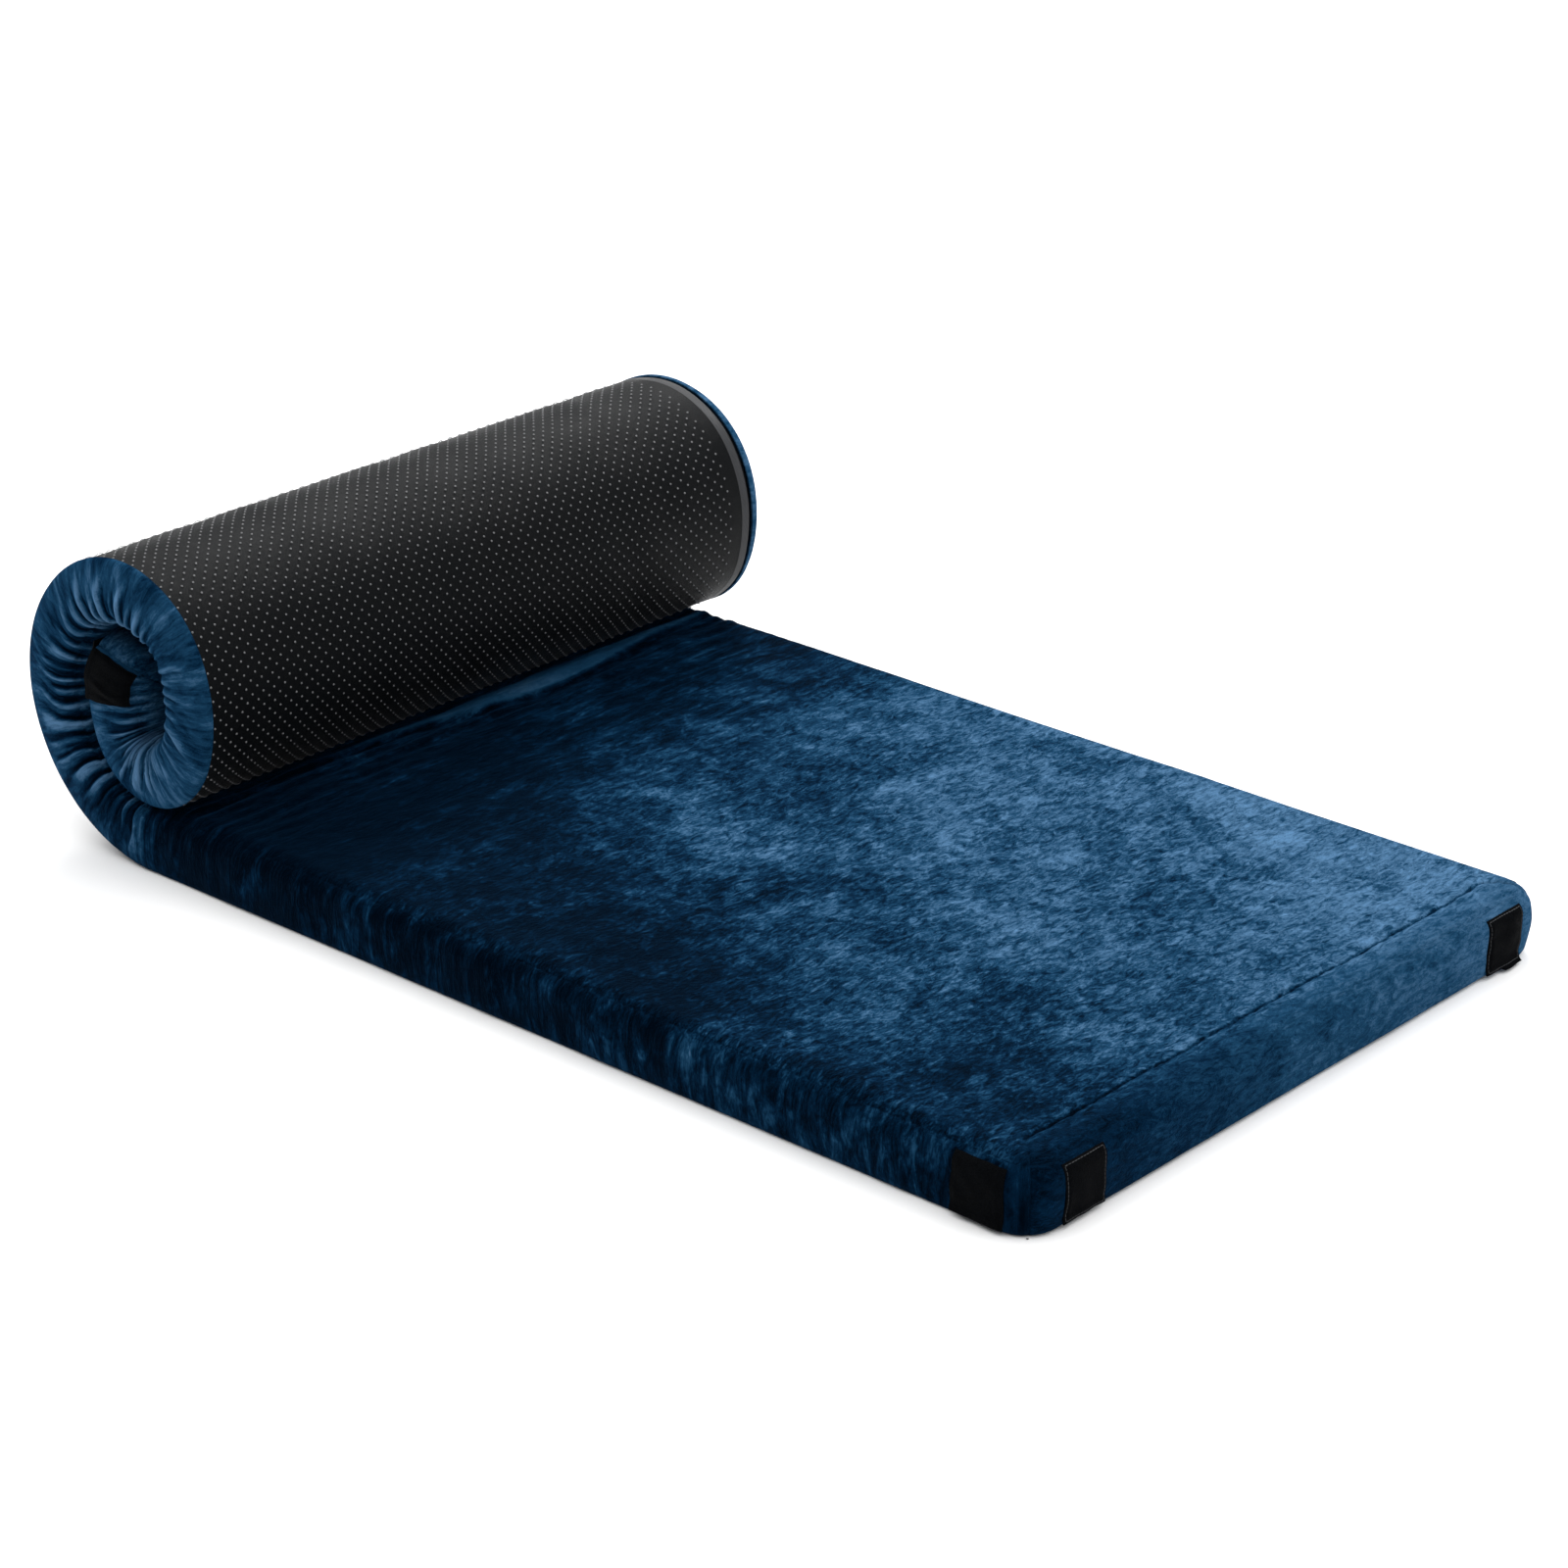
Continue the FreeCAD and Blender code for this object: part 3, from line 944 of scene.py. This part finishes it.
class FutonFinishes(PropertyGroup):
    """Colours of the cloths, the fastener and the floor"""

    # the velvet's ramp runs through these colours for the pile's lie and also for its painted shade and
    # painted highlights
    velvet_deep: colour_property("Velvet, deep", "Pile brushed away", (0.0010, 0.0110, 0.0300))
    velvet_mid: colour_property("Velvet, middle", "Pile at rest", (0.0085, 0.0440, 0.0950))
    velvet_light: colour_property("Velvet, light", "Pile brushed towards", (0.066, 0.150, 0.265))
    underside: colour_property("Underside cloth", "Charcoal cloth", (0.0012, 0.0017, 0.0023))
    dots: colour_property("Dots", "Raised dots on the underside", (0.100, 0.103, 0.108))
    binding: colour_property("Binding", "Satin strip beside the zip", (0.032, 0.033, 0.036))
    fastener: colour_property("Hook and loop", "Fastener squares", (0.0012, 0.0015, 0.0020))
    floor: colour_property("Floor", "Studio floor", (0.93, 0.93, 0.93))


# ---- velvet ----
def unfolded(across):
    """Distance along and height on the blank for a distance across the velvet, from the far bottom edge."""
    far = np.clip(across, 0.0, DEPTH)
    top = np.clip(across - DEPTH, 0.0, 2 * HALF)
    near = np.clip(across - DEPTH - 2 * HALF, 0.0, DEPTH)
    return HALF - top, far - near


def velvet_rows(edge_step, top_step):
    """Distances across the velvet at its grid's rows: close on the bands, wider on the top."""
    band = np.linspace(0.0, DEPTH, max(2, round(DEPTH / edge_step)) + 1)
    margin = 0.03
    rim = np.linspace(0.0, margin, max(2, round(margin / edge_step)) + 1)[1:]
    middle = np.linspace(margin, 2 * HALF - margin, round((2 * HALF - 2 * margin) / top_step) + 1)[1:]
    top = np.concatenate([rim, middle, (2 * HALF - rim[::-1] + rim[0])[1:], [2 * HALF]])
    return np.concatenate([band, DEPTH + top, DEPTH + 2 * HALF + band[1:]])


def velvet_shape(low, high, rows, sizes, from_seam, to_seam):
    """Points of the top panel with both side bands, between two distances along the mattress."""
    total = DEPTH * 2 + 2 * HALF

    def shape(a, b):
        # the turned-under edges take a small share at both ends of the grid's rows
        index = b * (len(rows) + 3)
        across = np.interp(index - 2, np.arange(len(rows)), rows)
        y, height = unfolded(across)
        far_turn = np.clip(2 - index, 0, 2) / 2
        near_turn = np.clip(index - 2 - (len(rows) - 1), 0, 2) / 2
        side = HALF - np.abs(y)
        start_off = np.where(height > DEPTH - 1e-9, np.minimum(side, sizes.band_wrap), 0.0)
        start_off = np.maximum(start_off, near_turn * NEAR_LIP)
        start = low + (start_off if from_seam else 0.0)
        end = high - (start_off if to_seam else 0.0)
        if from_seam:  # closer columns at the seam and by the roll
            a = a - 0.62 * np.sin(2 * math.pi * a) / (2 * math.pi)
        along = start + (end - start) * a
        lip_far = HALF - groove_edges(along)[1]
        y = y - far_turn * lip_far + near_turn * NEAR_LIP
        height = np.where((far_turn > 0) | (near_turn > 0), 0.0, height)
        run = np.clip(across, 0, total) - far_turn * lip_far + near_turn * NEAR_LIP
        pattern = np.column_stack([along, run])
        folds = fold_shade_share(along, y, height, sizes)
        return outside(along, y, height, sizes), pattern, folds

    return shape


def dress(piece):
    """Gives a piece its velvet."""
    piece.data.materials.append(velvet())
    return piece


def velvet_piece(number, low, high, step, rows, sizes):
    """One length of the velvet; the first meets the foot band's seam, and the last the head band's."""
    last = number > len(SEGMENT_RADII)
    columns = max(4, round((high - low) / step))
    shape = velvet_shape(low, high, rows, sizes, number == 0, last)
    return dress(cloth(title("velvet_cover", number), columns, len(rows) + 3, shape, sizes.cover))


def end_band(name, at_foot, sizes):
    """Velvet band over one end: turned under, up the end face, and over on to the top."""
    wrap = sizes.band_wrap
    total = NEAR_LIP + DEPTH + wrap

    def shape(a, b):
        # the rows go up the face; the columns go across, narrower where the corners are mitred
        run = b * total
        under = np.clip(NEAR_LIP - run, 0, NEAR_LIP)
        height = np.clip(run - NEAR_LIP, 0, DEPTH)
        over = np.clip(run - NEAR_LIP - DEPTH, 0, wrap)
        inward = under + over
        reach = HALF - inward
        share = 2 * a - 1
        y = share * reach
        across = -y if at_foot else y
        along = inward if at_foot else LINE.length - inward
        # the wall's own pattern runs on from the top's
        pattern = np.column_stack(
            [along - (DEPTH - height) if at_foot else along + (DEPTH - height), DEPTH + HALF + across]
        )
        return outside(along, y if at_foot else -y, height, sizes), pattern, np.full(len(a), 0.5)

    return dress(cloth(name, columns=280, rows=60, shape=shape, thickness=sizes.cover))


class FUTON_OT_flat_velvet(Operator):
    """Velvet top and side bands of the half that lies flat"""

    bl_idname = "futon.flat_velvet"
    bl_label = "Flat velvet"

    def execute(self, context):
        sizes = context.scene.futon_sizes
        rows = velvet_rows(edge_step=0.0035, top_step=0.005)
        piece = velvet_piece(0, 0.0, FLAT_LENGTH, step=0.0045, rows=rows, sizes=sizes)
        attach(piece, 0)
        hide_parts("flat_top_panel", "flat_near_border", "flat_far_border", "flat_foam")
        return {"FINISHED"}


class FUTON_OT_rolled_velvet(Operator):
    """Velvet of the rolled half, one piece for each hinge line, gathered into pleats at the sides"""

    bl_idname = "futon.rolled_velvet"
    bl_label = "Rolled velvet"

    def execute(self, context):
        sizes = context.scene.futon_sizes
        rows = velvet_rows(edge_step=0.0024, top_step=0.009)
        for number, low, high in spans():
            piece = velvet_piece(number, low, high, step=0.0017, rows=rows, sizes=sizes)
            attach(piece, number)
            if number <= len(SEGMENT_RADII):
                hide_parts("roll_%02d_cover" % number, "roll_%02d_foam" % number)
        return {"FINISHED"}


class FUTON_OT_end_bands(Operator):
    """Velvet bands over the foot end and the rolled-up head end"""

    bl_idname = "futon.end_bands"
    bl_label = "End bands"

    def execute(self, context):
        sizes = context.scene.futon_sizes
        foot = end_band("foot_band", True, sizes)
        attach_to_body(foot, "flat_half")
        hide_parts("foot_border")
        head = end_band("head_band", False, sizes)
        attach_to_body(head, "roll_%02d" % len(SEGMENT_RADII))
        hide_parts("head_border")
        return {"FINISHED"}


# ---- underside ----
def underside_sheet(base, number, low, high, edges, height, rows, sizes, at_corners=False):
    """A length of the underside between the two edges that edges gives for distances along it.
    The one at the foot end's corners is rounded there in plan and lies flat; the others wave a little."""
    wave, wavelength = 0.00035, 0.09

    def shape(a, b):
        along = low + (high - low) * a
        edge_low, edge_high = edges(along)
        y = edge_low + (edge_high - edge_low) * b
        if at_corners:
            place, _, _ = soften(along, y, np.zeros_like(y), sizes)
            points = LINE.place(place[0], place[1], height + np.zeros_like(y))
        else:
            points = LINE.place(along, y, height + wave * (1 + rumple(61, wavelength, along, y)))
        return points, np.column_stack([along, y + HALF])

    step = 0.010 if number == 0 else 0.004
    columns = max(3, round((high - low) / step))
    return cloth(title(base, number), columns, rows, shape, CLOTH_THICKNESS)


# edges across of the dotted cloth, the satin strip and the zip tape, for distances along
def cloth_edges(along):
    return NEAR_LIP - HALF, binding_edge(along) + CLOTH_UNDERLAP


def strip_edges(along):
    return binding_edge(along), groove_edges(along)[0]


def tape_edges(along):
    return GROOVE_START - 0.001, GROOVE_END + 0.001


class FUTON_OT_underside(Operator):
    """Anti-slip cloth under the mattress, and round the outside of the roll"""

    bl_idname = "futon.underside"
    bl_label = "Underside cloth"

    def execute(self, context):
        sizes = context.scene.futon_sizes
        for number, low, high in lengths(NEAR_LIP, NEAR_LIP):
            piece = underside_sheet(
                "underside", number, low, high, cloth_edges, CLOTH_HEIGHT,
                rows=72, sizes=sizes, at_corners=number == 0,
            )
            piece.data.materials.append(anti_slip_cloth())
            high - low
            attach(piece, number)
            if number == 0:
                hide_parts("flat_base_cloth")
            elif number <= len(SEGMENT_RADII):
                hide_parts("roll_%02d_base_cloth" % number)
        return {"FINISHED"}


class FUTON_OT_dots(Operator):
    """Raised dots in staggered rows on the anti-slip cloth"""

    bl_idname = "futon.dots"
    bl_label = "Anti-slip dots"

    def execute(self, context):
        sizes = context.scene.futon_sizes
        pitch, size = sizes.dot_pitch, sizes.dot_size
        margin, first_row = 0.006, 0.008
        first_y = margin - HALF
        across = int((BINDING_START - margin - first_y - pitch / 2) / pitch) + 1
        for number, low, high in lengths(0.0, 0.010):
            row = math.ceil((low - first_row) / pitch)
            rows = math.ceil((high - first_row) / pitch) - row
            if rows < 1:
                continue
            bm = bmesh.new()
            for shift in (0.0, pitch / 2):
                made = bmesh.ops.create_cone(
                    bm, segments=6, radius1=size / 2, radius2=size * 0.27,
                    depth=CLOTH_HEIGHT - 0.0001, cap_ends=True,
                    matrix=Matrix.Translation((shift, shift, 0.0)),
                )
                foot = [
                    f for v in made["verts"] for f in v.link_faces
                    if len(f.verts) == 6 and f.calc_center_median().z < 0
                ]
                bmesh.ops.delete(bm, geom=list(set(foot)), context="FACES_ONLY")
            start = first_row + row * pitch

            def shape(flat):
                # a dot's own z is 0 at its middle; its wide end sits on the cloth
                height = CLOTH_HEIGHT / 2 - flat[:, 2]
                return LINE.place(flat[:, 0] + start, flat[:, 1] + first_y, height)

            piece = repeated(title("underside_dots", number), bm, (rows, across), (pitch, pitch), shape)
            piece.data.materials.append(dot_rubber())
            attach(piece, number)
        return {"FINISHED"}


class FUTON_OT_binding(Operator):
    """Grey satin strip between the dotted cloth and the zip"""

    bl_idname = "futon.binding"
    bl_label = "Satin binding"

    def execute(self, context):
        sizes = context.scene.futon_sizes
        for number, low, high in lengths(STRIP_INSET, STRIP_INSET):
            piece = underside_sheet(
                "satin_binding", number, low, high, strip_edges, CLOTH_HEIGHT - 0.0001,
                rows=6, sizes=sizes,
            )
            piece.data.materials.append(satin_binding())
            high - low
            attach(piece, number)
            if number == 0:
                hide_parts("zip_edge_binding")
        return {"FINISHED"}


class FUTON_OT_zip(Operator):
    """Zip sunk in its groove under the far edge: tape, coil, slider and pull tab"""

    bl_idname = "futon.zip"
    bl_label = "Zip"

    def execute(self, context):
        sizes = context.scene.futon_sizes
        pitch, wire = 0.0032, 0.0007
        for number, low, high in lengths(STRIP_INSET, ZIP_INSET):
            tape = underside_sheet(
                "zip_tape", number, low, high, tape_edges, TAPE_HEIGHT, rows=6, sizes=sizes
            )
            tape.data.materials.append(zip_tape())
            attach(tape, number)
            row = max(math.ceil((low - ZIP_INSET) / pitch), 0)
            rows = math.ceil((high - ZIP_INSET) / pitch) - row
            bm = bmesh.new()
            for side in (-1, 1):
                made = bmesh.ops.create_cone(
                    bm, segments=6, radius1=wire, radius2=wire, depth=0.0034, cap_ends=True,
                    matrix=Matrix.Translation((side * pitch / 4, side * wire, 0.0))
                    @ Matrix.Rotation(math.radians(90 - 8 * side), 4, "X"),
                )
                ends = [e for v in made["verts"] for e in v.link_edges if e.calc_length() < 0.0012]
                bmesh.ops.bevel(
                    bm, geom=list(set(ends)), offset=0.0002, segments=1, affect="EDGES",
                    profile=0.5, material=-1,
                )
            start = ZIP_INSET + row * pitch

            def shape(flat):
                height = (COIL_LOW.z + COIL_HIGH.z) / 2 + 0.0002 - flat[:, 2]
                return LINE.place(flat[:, 0] + start, flat[:, 1] + COIL_Y, height)

            coil = repeated(title("zip_coil", number), bm, (rows,), (pitch,), shape, sharp=40.0)
            coil.data.materials.append(zip_nylon())
            attach(coil, number)
            if number == 0:
                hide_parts("zip_tape")
                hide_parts("zip_chain")
        for node in ("zip_slider", "zip_pull_tab"):
            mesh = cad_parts[node].data
            mesh.materials.clear()
            mesh.materials.append(zip_metal())
        return {"FINISHED"}


# ---- hook-and-loop squares ----
def patch_spot(node):
    """A square's place on the blank: the side (0 for an end), its range along that side or across
    that end, and its range in height."""
    low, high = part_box(node)
    at_foot = node.startswith("foot")
    if "side" in node:
        side = NEAR if (low.y + high.y) < 0 else FAR
        if at_foot:
            return side, FOOT_X - high.x, FOOT_X - low.x, low.z, high.z
        end = LINE.length - HEAD_PATCH_INSET
        return side, end - PATCH_SIZE, end, HEAD_PATCH_BOTTOM, HEAD_PATCH_BOTTOM + PATCH_SIZE
    return 0, low.y, high.y, END_PATCH_BOTTOM, END_PATCH_BOTTOM + PATCH_SIZE


def patch_point(node, spot, a, b, lift, sizes):
    """Points over a square's place, for shares of its width and height, lifted off the velvet."""
    side, low, high, bottom, top = spot
    first = low + (high - low) * a
    height = bottom + (top - bottom) * b
    if side:
        return outside(first, side * HALF, height, sizes, lift)
    along = 0.0 if node.startswith("foot") else LINE.length
    return outside(along, first, height, sizes, lift)


def stitch_rows(size):
    """A row of stitches along each edge of a flat square."""
    bm = bmesh.new()
    per_side, radius, near, far = 13, 0.00035, STITCH_INSET, size - STITCH_INSET
    for side in range(4):
        for number in range(per_side):
            mark = near + (number + 0.5) * (far - near) / per_side
            place = [(mark, near), (far, mark), (mark, far), (near, mark)][side]
            bmesh.ops.create_cone(
                bm, segments=6, radius1=radius, radius2=radius, depth=0.0026, cap_ends=True,
                matrix=Matrix.Translation((*place, 0.0))
                @ Matrix.Rotation(math.radians(90), 4, "Y" if side % 2 == 0 else "X"),
            )
    return bm


def seed_from(text):
    """A whole number that depends on a name."""
    return sum((n + 1) * ord(c) for n, c in enumerate(text))


def outward_normals(piece):
    bm = bmesh.new()
    bm.from_mesh(piece.data)
    bmesh.ops.recalc_face_normals(bm, faces=bm.faces[:])
    bm.to_mesh(piece.data)
    bm.free()


def square_patch(node, sizes):
    """A fastener square sewn on: a slab with a raised field inside a stitched border."""
    spot = patch_spot(node)
    size = spot[2] - spot[1]
    lean = np.random.default_rng(seed_from(node)).uniform(-0.015, 0.015, 4)
    seed = 7 + abs(int(lean[0] * 900))

    def laid(a, b, lift):
        # a little askew, and standing off at its lower edge
        flare = 0.0022 * smooth((0.16 - b) / 0.16) + 0.0006 * rumple(seed, 0.5, a, b)
        skew_a = a + lean[0] * b + lean[1] * a * b
        skew_b = b + lean[2] * a + lean[3] * a * b
        return patch_point(node, spot, skew_a, skew_b, lift + flare, sizes)

    def shape(a, b):
        edge = np.minimum(np.minimum(a, 1 - a), np.minimum(b, 1 - b)) * size
        field = smooth((edge - 0.0035) / 0.0015) * 0.0008
        border = 0.0017 - 0.0007 * hump(edge / 0.0008) - 0.0006 * hump((edge - STITCH_INSET) / 0.0007)
        return laid(a, b, field + border), np.column_stack([a * size, b * size])

    name = node.replace("patch", "fastener")
    piece = cloth(name, columns=30, rows=30, shape=shape, thickness=0.0014)
    outward_normals(piece)
    piece.data.materials.append(hook_and_loop())
    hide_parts(node)

    stitches = take_mesh(stitch_rows(size), "stitches")
    flat = coordinates(stitches)
    set_coordinates(stitches, laid(flat[:, 0] / size, flat[:, 1] / size, 0.0013 + flat[:, 2]))
    thread = finish_mesh(stitches, node.replace("patch", "stitching"))
    outward_normals(thread)
    stitches.materials.append(black_thread())
    return piece, thread


class FUTON_OT_fasteners(Operator):
    """Hook-and-loop squares with their stitching, four at each end"""

    bl_idname = "futon.fasteners"
    bl_label = "Fastener squares"

    def execute(self, context):
        sizes = context.scene.futon_sizes
        for end, body in (("foot", "flat_half"), ("head", "roll_%02d" % len(SEGMENT_RADII))):
            for place in ("near_side", "far_side", "near_end", "far_end"):
                for piece in square_patch(f"{end}_{place}_patch", sizes):
                    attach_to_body(piece, body)
        return {"FINISHED"}


# ---- stage ----
def area_light(name, place, target, size, power):
    """A square soft box that faces a target."""
    data = bpy.data.lights.new(name, "AREA")
    data.shape, data.size = "SQUARE", size
    data.energy = power
    light = link(name, data)
    light.location = place
    way = Vector(target) - Vector(place)
    light.rotation_euler = way.to_track_quat("-Z", "Y").to_euler()


class FUTON_OT_stage(Operator):
    """Pale floor, soft studio light and the camera"""

    bl_idname = "futon.stage"
    bl_label = "Studio"

    def execute(self, context):
        bm = bmesh.new()
        bmesh.ops.create_grid(bm, x_segments=1, y_segments=1, size=20.0)
        floor = link("studio_floor", take_mesh(bm, "studio_floor"))
        floor.data.materials.append(floor_paint())

        world = bpy.data.worlds.new("studio")
        world.use_nodes = True
        back = world.node_tree.nodes["Background"]
        back.inputs["Color"].default_value = (0.97, 0.985, 1.0, 1.0)
        back.inputs["Strength"].default_value = 0.32
        context.scene.world = world
        context.scene.view_settings.view_transform = "Standard"
        area_light("overhead", (-2.0, 2.5, 9.5), (-2.0, 2.5, 0.0), size=26.0, power=3900.0)
        area_light("behind_roll", (-2.2, 2.9, 2.8), (-0.4, 0.0, 0.2), size=1.6, power=62.0)
        area_light("foot_side", (3.2, 0.9, 1.5), (0.2, 0.0, 0.0), size=1.6, power=20.0)

        data = bpy.data.cameras.new("camera")
        data.sensor_width, data.lens = 36.0, 99.15
        data.clip_start, data.clip_end = 0.05, 100.0
        camera = link("camera", data)
        azimuth, elevation, roll = math.radians(41.065), math.radians(23.396), 0.01159
        away = Vector(
            (
                math.sin(azimuth) * math.cos(elevation),
                -math.cos(azimuth) * math.cos(elevation),
                math.sin(elevation),
            )
        )
        right = Vector((math.cos(azimuth), math.sin(azimuth), 0.0))
        up = away.cross(right)
        right, up = (
            right * math.cos(roll) + up * math.sin(roll),
            up * math.cos(roll) - right * math.sin(roll),
        )
        camera.matrix_world = Matrix.Translation(Vector((2.2931, -2.6112, 1.6012))) @ Matrix(
            (right, up, away)
        ).transposed().to_4x4()
        context.scene.camera = camera
        return {"FINISHED"}


# ---- panel and registration ----
STEPS = (
    FUTON_OT_stage,
    FUTON_OT_flat_velvet,
    FUTON_OT_rolled_velvet,
    FUTON_OT_end_bands,
    FUTON_OT_underside,
    FUTON_OT_dots,
    FUTON_OT_binding,
    FUTON_OT_zip,
    FUTON_OT_fasteners,
)


class FUTON_PT_builder(Panel):
    """Buttons for the pieces, with their sizes and colours"""

    bl_idname = "FUTON_PT_builder"
    bl_label = "Roll-up futon"
    bl_space_type = "VIEW_3D"
    bl_region_type = "UI"
    bl_category = "Futon"

    def draw(self, context):
        for group in (context.scene.futon_sizes, context.scene.futon_finishes):
            column = self.layout.column()
            for name in group.__annotations__:
                column.prop(group, name)
        for step in STEPS:
            self.layout.operator(step.bl_idname)


CLASSES = (FutonSizes, FutonFinishes, *STEPS, FUTON_PT_builder)


def register():
    for one in CLASSES:
        bpy.utils.register_class(one)
    bpy.types.Scene.futon_sizes = PointerProperty(type=FutonSizes)
    bpy.types.Scene.futon_finishes = PointerProperty(type=FutonFinishes)


def unregister():
    del bpy.types.Scene.futon_finishes
    del bpy.types.Scene.futon_sizes
    for one in reversed(CLASSES):
        bpy.utils.unregister_class(one)


def main():
    register()
    for step in STEPS:
        family, name = step.bl_idname.split(".")
        getattr(getattr(bpy.ops, family), name)()


if __name__ == "__main__":
    main()
